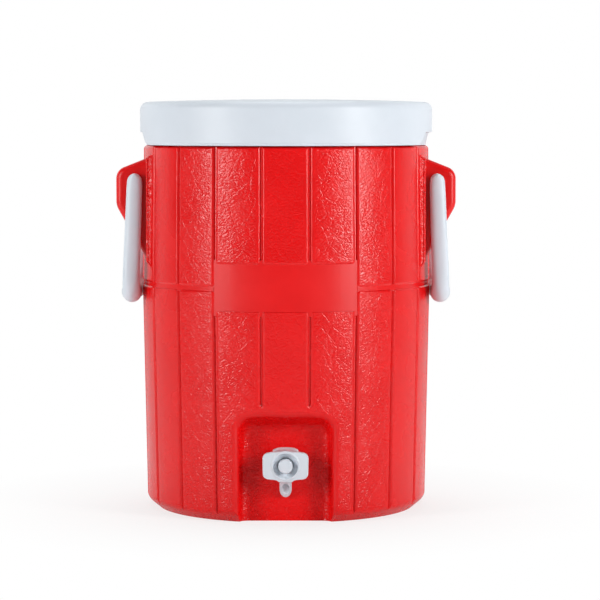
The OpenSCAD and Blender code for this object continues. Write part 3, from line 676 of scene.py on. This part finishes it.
stations = []
for turn in (84, 60, 30):
    up, half = leg_half * sin(radians(turn)), leg_half * cos(radians(turn))
    stations.append((pivot_x, -leg_mid, up, half, leg_t, leg_square, 0))
for part in (0, 0.25, 0.5, 0.75, 1):
    half = leg_half + leg_wider * part
    stations.append((pivot_x + leg_out * part, -leg_mid, -leg_run * part, half, leg_t, leg_square, 0))
for turn in range(0, 91, 15):
    part, late = sin(radians(turn)), 1 - cos(radians(turn))
    stations.append((bend_x + late * (grip_x(grip_end_y, end_half) - bend_x),
                     -grip_end_y - bend_r * cos(radians(turn)), -(grip_drop - bend_r) - bend_r * part,
                     bend_half + bend_wider * late, leg_t + part * (end_tall - leg_t),
                     leg_square - 0.2 * part, turn))
for part in (0.75, 0.5, 0.25, 0):
    wide, tall = grip_half + end_wider * part * part, grip_half + end_taller * part * part
    stations.append((grip_x(part * grip_end_y, wide), -part * grip_end_y, -grip_drop, wide, tall, 2, 90))


def section(x, y, z, wide, thick, power, turn):
    loop = []
    for i in range(16):
        c, s = cos(2 * pi * i / 16), sin(2 * pi * i / 16)
        a = wide * abs(c) ** (2 / power) * (1 if c > 0 else -1)
        b = thick * abs(s) ** (2 / power) * (1 if s > 0 else -1)
        loop.append((x + a, y - b * cos(radians(turn)), pivot_z + z - b * sin(radians(turn))))
    return loop


print("A half handle has", len(stations), "sections")

# %% [markdown]
# The bridge tool finds the order of the loops by itself and joins each to the next. The end of the leg is
# closed with a face. The left handle is a mirrored copy with its own mesh, and its normals are turned
# back out.

# %% Handles
def loop_piece(points):
    piece = closed("loop", points)
    leave()
    return piece


bail = join_all([loop_piece(section(*station)) for station in stations])
bail.name = "right_bail"
edit(bail)
bpy.ops.mesh.select_mode(type="EDGE")
bpy.ops.mesh.select_all(action="SELECT")
bpy.ops.mesh.bridge_edge_loops(type="SINGLE")
choose(bail, "EDGE", lambda e: e.is_boundary and e.verts[0].co.z > pivot_z * mm)
bpy.ops.mesh.edge_face_add()
tidy_skin()
leave()
mirror = bail.modifiers.new("mirror", "MIRROR")
mirror.use_axis = (False, True, False)
mirror.use_clip = True
mirror.merge_threshold = 0.05 * mm
smooth = bail.modifiers.new("smooth", "SUBSURF")
smooth.levels = smooth.render_levels = 2
only(bail)
for step in (mirror, smooth):
    bpy.ops.object.modifier_apply(modifier=step.name)
edit(bail)
tidy_skin()
leave()
for end in (-1, 1):
    stud = lathe("stud", [(0, 36.6), (5, 36.6), (6, 37.6), (6, 52), (0, 52)], 40)
    carve(bail, lay(stud, pivot_x, pivot_z, end), "UNION")
only(bail)
bpy.ops.object.duplicate()
left_bail = bpy.context.object
left_bail.name = "left_bail_bar"
edit(left_bail)
bpy.ops.transform.resize(value=(-1, 1, 1), center_override=(0, 0, 0))
tidy_skin()
leave()
finish(bail, "right_bail", "right_handle", 60)
finish(left_bail, "left_bail", "left_handle", 60)
print("Handles with", len(bail.data.polygons), "faces each")

# %% [markdown]
# ## The tap
# The tap is a pale moulding: a flange and a neck on the alcove's wall, a plate with finger wings, a round
# chin and a spout. Each is traced from its own view and its front edge is rounded. The dish round the
# button is a turned cutter with a soft rim, and the spout is cut at a slant before it is bored.

# %% Tap plate, neck and chin
wing_y, gasket_y = 159.0, 133.5


def crowned(width, height, r, crown):
    half, top = width / 2, height / 2
    edge = [(half - r) * (1 - i / 6) for i in range(1, 7)]
    quarter = arc(half - r, top - crown - r, r, 0, 90, 5)
    quarter += [(x, top - crown * (x / half) ** 2) for x in edge]
    quarter[-1] = (0, top)
    left = [(-x, z) for x, z in reversed(quarter[:-1])]
    upper = quarter + left
    return upper + [(-x, -z) for x, z in upper]


def tap_slab(name, outline, back, face, soft):
    piece = slab(name, [(x, -back, tap_z + z) for x, z in outline], (0, back - face, 0))
    soften(piece, soft, 3, lambda e: crease(e) > 0.8 and all(v.co.y < -(face - 0.01) * mm for v in e.verts))
    return piece


upper_plate = crowned(50.6, 31.7, 7.0, 1.0)[:23]
chin_edge = [(14, -15.2), (11.5, -15.5), (9.8, -16.0), (8.4, -16.8), (7.2, -17.8)]
lower_plate = arc(-18.4, -8.2, 6.6, 180, 258, 5) + [(-x, z) for x, z in chin_edge]
lower_plate += chin_edge[::-1] + arc(18.4, -8.2, 6.6, 282, 360, 5)
tap = tap_slab("push_tap", upper_plate + lower_plate, wing_y - 5, wing_y, 1.2)
carve(tap, tap_slab("neck", crowned(26.6, 33.0, 3, 1.7), gasket_y + 1, wing_y - 2, 0.5), "UNION")
carve(tap, tap_slab("flange", crowned(28.2, 34.6, 2.6, 1.7), gasket_y, gasket_y + 6, 1.0), "UNION")
chin = lay(lathe("chin", [(0, 143), (17.9, 143), (17.9, 156.5), (16.6, 157.8), (0, 157.8)], 72))
edit(chin)
trim((0, 0, (tap_z - 3) * mm), (0, 0, 1))
leave()
carve(tap, chin, "UNION")
print("Tap body so far:", len(tap.data.polygons), "faces")

# %% [markdown]
# The spout hangs from the neck behind the plate. Its slanted mouth faces the front, so its oval opening
# shows below the chin. The bores follow the solids: a room for the button, a hole for the stem, and the
# water way.

# %% Spout, dish and bores
spout_y, spout_r, spout_bore, spout_tip, slant = 140.5, 6.7, 4.2, 26.6, radians(56)
spout = rod("spout", spout_r, spout_tip, tap_z - 1)
bore = rod("spout_bore", spout_bore, spout_tip - 5, tap_z)
for piece in (spout, bore):
    edit(piece)
    bpy.ops.transform.translate(value=(0, -spout_y * mm, 0))
    leave()
edit(spout)
trim((0, (spout_r - spout_y) * mm, spout_tip * mm), (0, -sin(slant), -cos(slant)))
leave()
carve(tap, spout, "UNION")
carve(tap, bore)


def off_slant(point):
    return (point.y + (spout_y - spout_r) * mm) * sin(slant) + (point.z - spout_tip * mm) * cos(slant)


soften(tap, 0.9, 3, lambda e: crease(e) > 0.6 and all(
    v.co.z < (tap_z - 15) * mm and abs(off_slant(v.co)) < 0.05 * mm for v in e.verts))
shank_back = -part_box("tap_body")[1].y / mm
carve(tap, lay(rod("shank", 11.5, shank_back, 136, 64)), "UNION")
rim = [(11, 155), (16.9, 155), (16.9, 158.5), (16.3, 159.1), (15.6, 159.6), (14.9, 159.8), (14.2, 159.7)]
rim += [(11, 159.7)]
carve(tap, lay(lathe("dish_rim", rim + rim[:1], 72)), "UNION")
way = [(0, 88), (7.5, 88), (7.5, 145.7), (3.2, 145.7), (3.2, 146.6), (5.2, 146.6), (5.2, 148.8)]
way += [(3.2, 148.8), (3.2, 149.7), (8.5, 149.7), (8.5, 152.4), (9.4, 153.6), (10.8, 154.8)]
way += [(12.0, 156.3), (12.9, 157.7), (13.5, 158.7), (14.0, 159.4), (14.4, 159.7), (14.7, 160.4)]
way += [(0, 160.4)]
carve(tap, lay(lathe("way_and_dish", way, 72)))
finish(tap, "jug", "tap_body", 40)
print("Tap with", len(tap.data.polygons), "faces, shank from", round(shank_back, 1), "mm")

# %% [markdown]
# A soft seal lies between the tap's flange and the wall of the alcove. Only its rim shows, as a thin line
# round the flange, so it is a slab of the same crowned outline with a hole for the shank.

# %% Outer seal
seal = tap_slab("outer_seal", crowned(28.8, 35.2, 2.8, 1.7), alcove_y, gasket_y, 0.4)
carve(seal, lay(rod("seal_hole", 11.7, 120, 140, 64)))
finish(seal, "jug", "outer_gasket", 40)
print("Outer seal with", len(seal.data.polygons), "faces")

# %% [markdown]
# The button is a turned cup with a rounded edge and a socket for the stem behind its face. It keeps the
# inner sizes of its solid, because the spring works inside it.

# %% Button
button_face, button_back = 163.5, 154.2
cup_floor, socket_end = button_face - 2.5, button_face - 6.5
cup = [(0, cup_floor), (3.1, cup_floor), (3.1, socket_end), (4.8, socket_end), (4.8, cup_floor),
       (6.7, cup_floor), (6.7, button_back), (7.6, button_back), (7.9, button_back + 0.3)]
cup += arc(6.5, button_face - 1.6, 1.4, 0, 80, 6) + [(5.0, button_face - 0.1), (0, button_face)]
button = lay(lathe("push_button", cup, 72))
finish(button, "plunger", "tap_button", 40)
print("Button with", len(button.data.polygons), "faces")

# %% [markdown]
# ## Finishes
# Moulded plastic is one coloured mass, so its look comes from the surface. The red body has a leather
# grain of fine creases and a few longer wrinkles, and the white pieces are almost smooth. All patterns
# read Object coordinates, so they keep their size on every piece. An input of a node takes either a value
# or a link from another node, and put does what fits. The helpers after it add the nodes.

# %% Node helpers
def put(tree, socket, value):
    if isinstance(value, bpy.types.NodeSocket):
        tree.links.new(value, socket)
    else:
        socket.default_value = value


def add(tree, kind, **values):
    node = tree.nodes.new("ShaderNode" + kind)
    for name, value in values.items():
        put(tree, node.inputs[name], value)
    return node


def new_finish(name, colour, roughness):
    material = bpy.data.materials.new(name)
    material.use_nodes = True
    tree = material.node_tree
    shader = tree.nodes["Principled BSDF"].inputs
    put(tree, shader["Base Color"], (*colour, 1))
    put(tree, shader["Roughness"], roughness)
    return material, tree, shader, add(tree, "TexCoord").outputs["Object"]


def noise(tree, place, scale, detail=3):
    return add(tree, "TexNoise", Vector=place, Scale=scale, Detail=detail).outputs["Fac"]


def ranged(tree, value, low, high, to_low, to_high, shape="LINEAR"):
    node = add(tree, "MapRange", Value=value)
    node.interpolation_type = shape
    for socket, number in zip(("From Min", "From Max", "To Min", "To Max"), (low, high, to_low, to_high)):
        put(tree, node.inputs[socket], number)
    return node.outputs["Result"]


def bumped(tree, height, strength, distance, under=None):
    node = add(tree, "Bump", Height=height, Strength=strength, Distance=distance)
    if under:
        put(tree, node.inputs["Normal"], under)
    return node.outputs["Normal"]


def tinted(tree, factor, dark, light):
    node = add(tree, "ValToRGB", Fac=factor)
    for stop, colour in zip(node.color_ramp.elements, (dark, light)):
        stop.color = (*colour, 1)
    return node.outputs["Color"]


def soft_edges(tree, radius):
    node = add(tree, "Bevel", Radius=radius * mm)
    node.samples = 6
    return node.outputs["Normal"]


def sums(tree, operation, first, second=0.0):
    node = add(tree, "Math")
    node.operation = operation
    for socket, value in zip(node.inputs, (first, second)):
        put(tree, socket, value)
    return node.outputs[0]


print("Node helpers are ready")

# %% [markdown]
# The creases run round the jug as on a sheet of leather, so the pattern needs an unrolled sheet: the
# angle from the front, times the radius, is its width, and the height its length. A half turn of one
# stave puts the seam of the sheet into a groove at the back.
#
# A crease is the border between two cells of a Voronoi pattern. Cells that are stretched and turned give
# strokes in one direction, and layers of several sizes that cross each other give a wrinkled skin.

# %% Unrolled sheet and creases
sheet_r = 165 * mm
crease_layers = ((15, 2.4, 62, 0.06, 0.11), (11, 2.6, -48, 0.08, 0.12),
                 (2.9, 2.6, 18, 0.4, 0.13), (2.4, 2.0, -40, 0.42, 0.085))


def front_turn(tree, split):
    forward = sums(tree, "MULTIPLY", split.outputs["Y"], -1.0)
    return sums(tree, "ARCTAN2", split.outputs["X"], forward)


def unrolled(tree, place):
    turned = add(tree, "Mapping", Vector=place, Rotation=(0, 0, stave / 2))
    split = add(tree, "SeparateXYZ", Vector=turned.outputs["Vector"])
    around = sums(tree, "MULTIPLY", front_turn(tree, split), sheet_r)
    return add(tree, "CombineXYZ", X=around, Y=split.outputs["Z"]).outputs["Vector"]


def cell_creases(tree, place, size, stretch, lean, width):
    turned = add(tree, "Mapping", Vector=place, Rotation=(0, 0, radians(lean)), Scale=(stretch, 1, 1))
    turned.vector_type = "TEXTURE"
    cells = add(tree, "TexVoronoi", Vector=turned.outputs["Vector"], Scale=1 / (size * mm))
    cells.voronoi_dimensions = "2D"
    cells.feature = "DISTANCE_TO_EDGE"
    return ranged(tree, cells.outputs["Distance"], 0.0, width, 0.0, 1.0, "SMOOTHSTEP")


print("Creases in", len(crease_layers), "layers")

# %% [markdown]
# The grain isn't the same everywhere. It fades beside the grooves and the waist, is weaker on the middle
# stave at the front, and is almost gone on the staves towards the sides. The angle from the front, with
# the spread of the staves taken back, tells where in its stave a point lies.

# %% Strength of the grain
edge_grain, waist_grain, front_grain, side_grain = 0.05, 0.1, 0.6, 0.22


def stave_grain(tree, place, grain):
    split = add(tree, "SeparateXYZ", Vector=place)
    off_front = sums(tree, "ABSOLUTE", front_turn(tree, split))
    turn, so_far = off_front, 0
    for low, high, more in spread_steps:
        start, end = radians(low + so_far), radians(high + so_far + more)
        extra = ranged(tree, off_front, start, end, 0.0, radians(more))
        turn = sums(tree, "SUBTRACT", turn, extra)
        so_far += more
    in_stave = sums(tree, "PINGPONG", turn, stave / 2)
    strength = ranged(tree, in_stave, radians(6.9), radians(7.9), grain, edge_grain)
    to_side = sums(tree, "PINGPONG", turn, pi / 2)
    off_waist = sums(tree, "ABSOLUTE", sums(tree, "SUBTRACT", split.outputs["Z"], waist_z * mm))
    for share in (ranged(tree, to_side, radians(44.5), radians(45.5), 1.0, side_grain),
                  ranged(tree, to_side, radians(8.5), radians(9.5), front_grain, 1.0),
                  ranged(tree, off_waist, 3.4 * mm, 6.5 * mm, waist_grain, 1.0)):
        strength = sums(tree, "MULTIPLY", strength, share)
    return strength


print("Grain on the middle stave has a strength of", front_grain, "and towards the sides of", side_grain)

# %% [markdown]
# One red makes four finishes: grained for the staves, smooth for the plaque and the lugs, duller for the
# alcove, and deeply grained for the flanks of the pads. Noise shifts the pattern, so that its cells don't
# look like tiles, and gives the colour faint clouds. The Bevel node rounds the last sharp edges in the
# light.

# %% Red finishes
red, red_dark, red_light = (0.72, 0.003, 0.004), (0.66, 0.0025, 0.003), (0.78, 0.0035, 0.0045)
warp_scale, warp_by = 75, 0.007


def red_finish(name, grain, roughness, on_staves=False, deep=1.0, shine=0.36):
    material, tree, shader, place = new_finish(name, red, roughness)
    put(tree, shader["Specular IOR Level"], shine)
    if on_staves:
        grain = stave_grain(tree, place, grain)
    warp = add(tree, "TexNoise", Vector=place, Scale=warp_scale).outputs["Color"]
    bent = add(tree, "VectorMath")
    bent.operation = "MULTIPLY_ADD"
    for socket, value in zip(bent.inputs, (warp, (warp_by, warp_by, warp_by), unrolled(tree, place))):
        put(tree, socket, value)
    normal = soft_edges(tree, 0.7)
    for size, stretch, lean, width, depth in crease_layers:
        height = cell_creases(tree, bent.outputs["Vector"], size, stretch, lean, width)
        normal = bumped(tree, height, grain, depth * deep * mm, normal)
    normal = bumped(tree, noise(tree, place, 1400, 2), 0.2, 0.12 * mm, normal)
    put(tree, shader["Normal"], normal)
    cloud = noise(tree, place, 25)
    put(tree, shader["Base Color"], tinted(tree, cloud, red_dark, red_light))
    put(tree, shader["Roughness"], ranged(tree, cloud, 0.3, 0.7, roughness - 0.05, roughness + 0.06))
    return material


grained_red = red_finish("grained_red", 1.0, 0.25, True)
smooth_red = red_finish("smooth_red", 0.05, 0.34)
alcove_red = red_finish("alcove_red", 0.8, 0.27, deep=1.6, shine=0.24)
flank_red = red_finish("flank_red", 1.0, 0.22, deep=2.2)
reds = (grained_red, smooth_red, alcove_red, flank_red)
print("Finishes:", [material.name for material in reds])

# %% [markdown]
# The body carries all four finishes. Its faces are chosen by their place, as a painter would mask them:
# first the alcove, then the smooth places, then the flanks of the pads. All other faces keep the grain.

# %% Paint the body
body.data.materials.clear()
for material in reds:
    body.data.materials.append(material)
edit(body)


def skin_depth(spot):
    return flat(spot.z / mm) - hypot(spot.x, spot.y) / mm


def in_alcove(face):
    spot = face.calc_center_median()
    return abs(spot.x) < mouth_half * mm and spot.y < -120 * mm and spot.z < 124 * mm and (
        skin_depth(spot) > 0.4)


def smooth_place(face):
    spot = face.calc_center_median()
    turn = abs(atan2(spot.x, -spot.y))
    in_plaque = turn < radians(28.5) and (plaque_low + 1) * mm < spot.z < (plaque_high - 1) * mm
    on_rim = in_alcove(face) and skin_depth(spot) < mouth_r
    return in_plaque or on_rim or abs(spot.x) > 167 * mm


def pad_flank(face):
    spot = face.calc_center_median()
    slanted = 0.7 < abs(face.normal.y) < 0.95 and 0.3 < abs(face.normal.x)
    return slanted and pad_root * mm < abs(spot.x) < 158 * mm and (
        285 * mm < spot.z < 410 * mm and 55 * mm < abs(spot.y) < 75 * mm)


for slot, test in ((2, in_alcove), (1, smooth_place), (3, pad_flank)):
    count = choose(body, "FACE", test)
    body.active_material_index = slot
    bpy.ops.object.material_slot_assign()
    print(body.data.materials[slot].name, "is on", count, "faces")
leave()

# %% [markdown]
# The lid, the handles and the tap are the same bluish white plastic. It is smooth, with a very faint
# texture and slight clouds in its colour, and the soft normal rounds the last sharp edges of the cuts.

# %% White plastic
def white_finish(name, dark, light, roughness):
    material, tree, shader, place = new_finish(name, light, roughness)
    put(tree, shader["Base Color"], tinted(tree, noise(tree, place, 30), dark, light))
    texture = noise(tree, place, 900, 2)
    put(tree, shader["Normal"], bumped(tree, texture, 0.12, 0.1 * mm, soft_edges(tree, 0.8)))
    put(tree, shader["Roughness"], ranged(tree, texture, 0.3, 0.7, roughness - 0.05, roughness + 0.05))
    return material


def paint(piece, material):
    piece.data.materials.clear()
    piece.data.materials.append(material)


cool_white = white_finish("cool_white", (0.61, 0.665, 0.725), (0.66, 0.715, 0.775), 0.42)
for piece in (lid, bail, left_bail, tap, button):
    paint(piece, cool_white)
print("White plastic is on the lid, the handles and the tap")

# %% [markdown]
# The inner pieces keep their solids. The liner and the small mouldings get a milky white, the seals a
# soft grey rubber, the spring and the clip brushed steel, and the foam a cream colour with small pores.

# %% Inner pieces
def plain_finish(name, dark, light, scale, roughness, bump, metal=0.0):
    material, tree, shader, place = new_finish(name, light, roughness)
    put(tree, shader["Metallic"], metal)
    pattern = noise(tree, place, scale, 4)
    put(tree, shader["Base Color"], tinted(tree, pattern, dark, light))
    put(tree, shader["Normal"], bumped(tree, pattern, 0.3, bump * mm))
    return material


milk = plain_finish("milky_plastic", (0.74, 0.76, 0.78), (0.82, 0.84, 0.85), 120, 0.38, 0.1)
rubber = plain_finish("grey_rubber", (0.30, 0.31, 0.31), (0.40, 0.41, 0.41), 600, 0.7, 0.1)
steel = plain_finish("spring_steel", (0.52, 0.53, 0.55), (0.68, 0.69, 0.71), 2500, 0.3, 0.03, 1.0)
foam = plain_finish("cream_foam", (0.72, 0.62, 0.40), (0.86, 0.78, 0.55), 700, 0.85, 0.4)
inner = {milk: ("inner_liner", "fill_plug", "lid_panel", "valve_stem", "tap_sleeve", "lock_nut"),
         rubber: ("lid_gasket", "valve_disc", "stem_seal", "inner_gasket"),
         steel: ("stem_clip",), foam: ("wall_foam", "lid_foam")}
for material, names in inner.items():
    for name in names:
        for holder in frame["nodes"][name].material_slots:
            holder.material = material
paint(seal, plain_finish("pale_rubber", (0.50, 0.53, 0.56), (0.58, 0.61, 0.64), 500, 0.6, 0.1))
print("Inner pieces are finished")

# %% [markdown]
# The spring stands between the tap and the button, so the real one shortens when the button goes in.
# A merged copy of the solid, with its own mesh, stands for it and rides on the jug. The solid itself is
# hidden, because the frame keeps the mesh of a solid as it is.

# %% Spring
spring = bpy.data.objects.new("coil_spring", frame["nodes"]["return_spring"].data.copy())
scene.collection.objects.link(spring)
finish(spring, "jug", "return_spring")
paint(spring, steel)
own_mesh(spring)

# %% [markdown]
# ## Floor and light
# The jug stands on a pale floor in front of white. The floor mixes a white glow with a plain diffuse
# surface. The camera sees mostly the glow, but less of it close to the jug, so that a faint shadow stays
# there. Shiny surfaces see a part of the glow, and the other light only meets the diffuse floor.

# %% Floor
floor_gloss, fade_near, fade_far, fade_low = 0.28, 0.16, 0.4, 0.75
bpy.ops.object.select_all(action="DESELECT")
bpy.ops.mesh.primitive_plane_add(size=30, location=(0, 0, 0))
floor = bpy.context.object
floor.name = "floor"
pale = bpy.data.materials.new("pale_floor")
pale.use_nodes = True
tree = pale.node_tree
tree.nodes.remove(tree.nodes["Principled BSDF"])


def seen(tree, glossy_share):
    path = add(tree, "LightPath").outputs
    shiny = sums(tree, "MULTIPLY", path["Is Glossy Ray"], glossy_share)
    clear = sums(tree, "MAXIMUM", path["Is Camera Ray"], path["Is Transmission Ray"])
    return sums(tree, "MAXIMUM", clear, shiny)


far = add(tree, "VectorMath")
far.operation = "LENGTH"
put(tree, far.inputs[0], add(tree, "TexCoord").outputs["Object"])
fade = ranged(tree, far.outputs["Value"], fade_near, fade_far, fade_low, 1.0)
mix = add(tree, "MixShader", Fac=sums(tree, "MULTIPLY", seen(tree, floor_gloss), fade))
put(tree, mix.inputs[1], add(tree, "BsdfDiffuse", Color=(0.9, 0.9, 0.9, 1)).outputs["BSDF"])
put(tree, mix.inputs[2], add(tree, "Emission").outputs["Emission"])
put(tree, tree.nodes["Material Output"].inputs["Surface"], mix.outputs["Shader"])
floor.data.materials.append(pale)
print("Floor is pale, and fades to white", fade_far, "m from the axis")

# %% [markdown]
# The background is a plain white world for the camera. As a light it is weak in front and at the sides
# and strong behind the jug, which gives the edges of the lid and the handles their bright rims.

# %% Background
room_front, room_side, room_back = 0.1, 0.08, 0.75
world = bpy.data.worlds.new("white_room")
scene.world = world
world.use_nodes = True
tree = world.node_tree
sky = tree.nodes["Background"].inputs
depth = add(tree, "SeparateXYZ", Vector=add(tree, "TexCoord").outputs["Generated"]).outputs["Y"]
behind = ranged(tree, depth, 0.35, 0.9, 0.0, 1.0)
ambient = ranged(tree, depth, -0.7, 0.2, room_front, room_side)
ambient = sums(tree, "ADD", ambient, ranged(tree, depth, 0.2, 0.8, 0.0, room_back))
put(tree, sky["Color"], (1, 1, 1, 1))
put(tree, sky["Strength"], sums(tree, "MAXIMUM", ambient, seen(tree, behind)))
print("Background is white, with a glow of", room_back, "behind the jug")

# %% [markdown]
# Two tall windows stand at the left and the right in front of the jug. They draw the soft sheen on the
# staves, and the right one is a little stronger. Two weak walls behind lighten the sides, and a sheet
# above lights the lid. All are area lamps, because a large lamp gives a soft shadow.

# %% Lamps
window_at, window_size, window_aim = (1.80, -1.26, 0.78), (0.55, 1.0), (0, 0, 0.25)
wall_at, wall_size, wall_aim = (2.1, 1.2, 0.9), (1.6, 1.6), (0, 0, 0.3)


def lamp(name, place, aim, size, watts):
    bpy.ops.object.light_add(type="AREA", location=place)
    light = bpy.context.object
    light.name = name
    light.data.shape = "RECTANGLE"
    light.data.size, light.data.size_y = size
    light.data.energy = watts
    light.rotation_euler = (Vector(aim) - Vector(place)).to_track_quat("-Z", "Y").to_euler()


for hand, side, watts in (("left", -1, 27), ("right", 1, 33)):
    lamp(hand + "_window", (side * window_at[0], *window_at[1:]), window_aim, window_size, watts)
    lamp(hand + "_wall", (side * wall_at[0], *wall_at[1:]), wall_aim, wall_size, 4)
lamp("top_sheet", (0, 0.4, 2.6), wall_aim, (1.6, 1.2), 27)
print("Five lamps are on")

# %% [markdown]
# At the end the picture is shown with the Standard view transform.

# %% View transform
scene.view_settings.view_transform = "Standard"
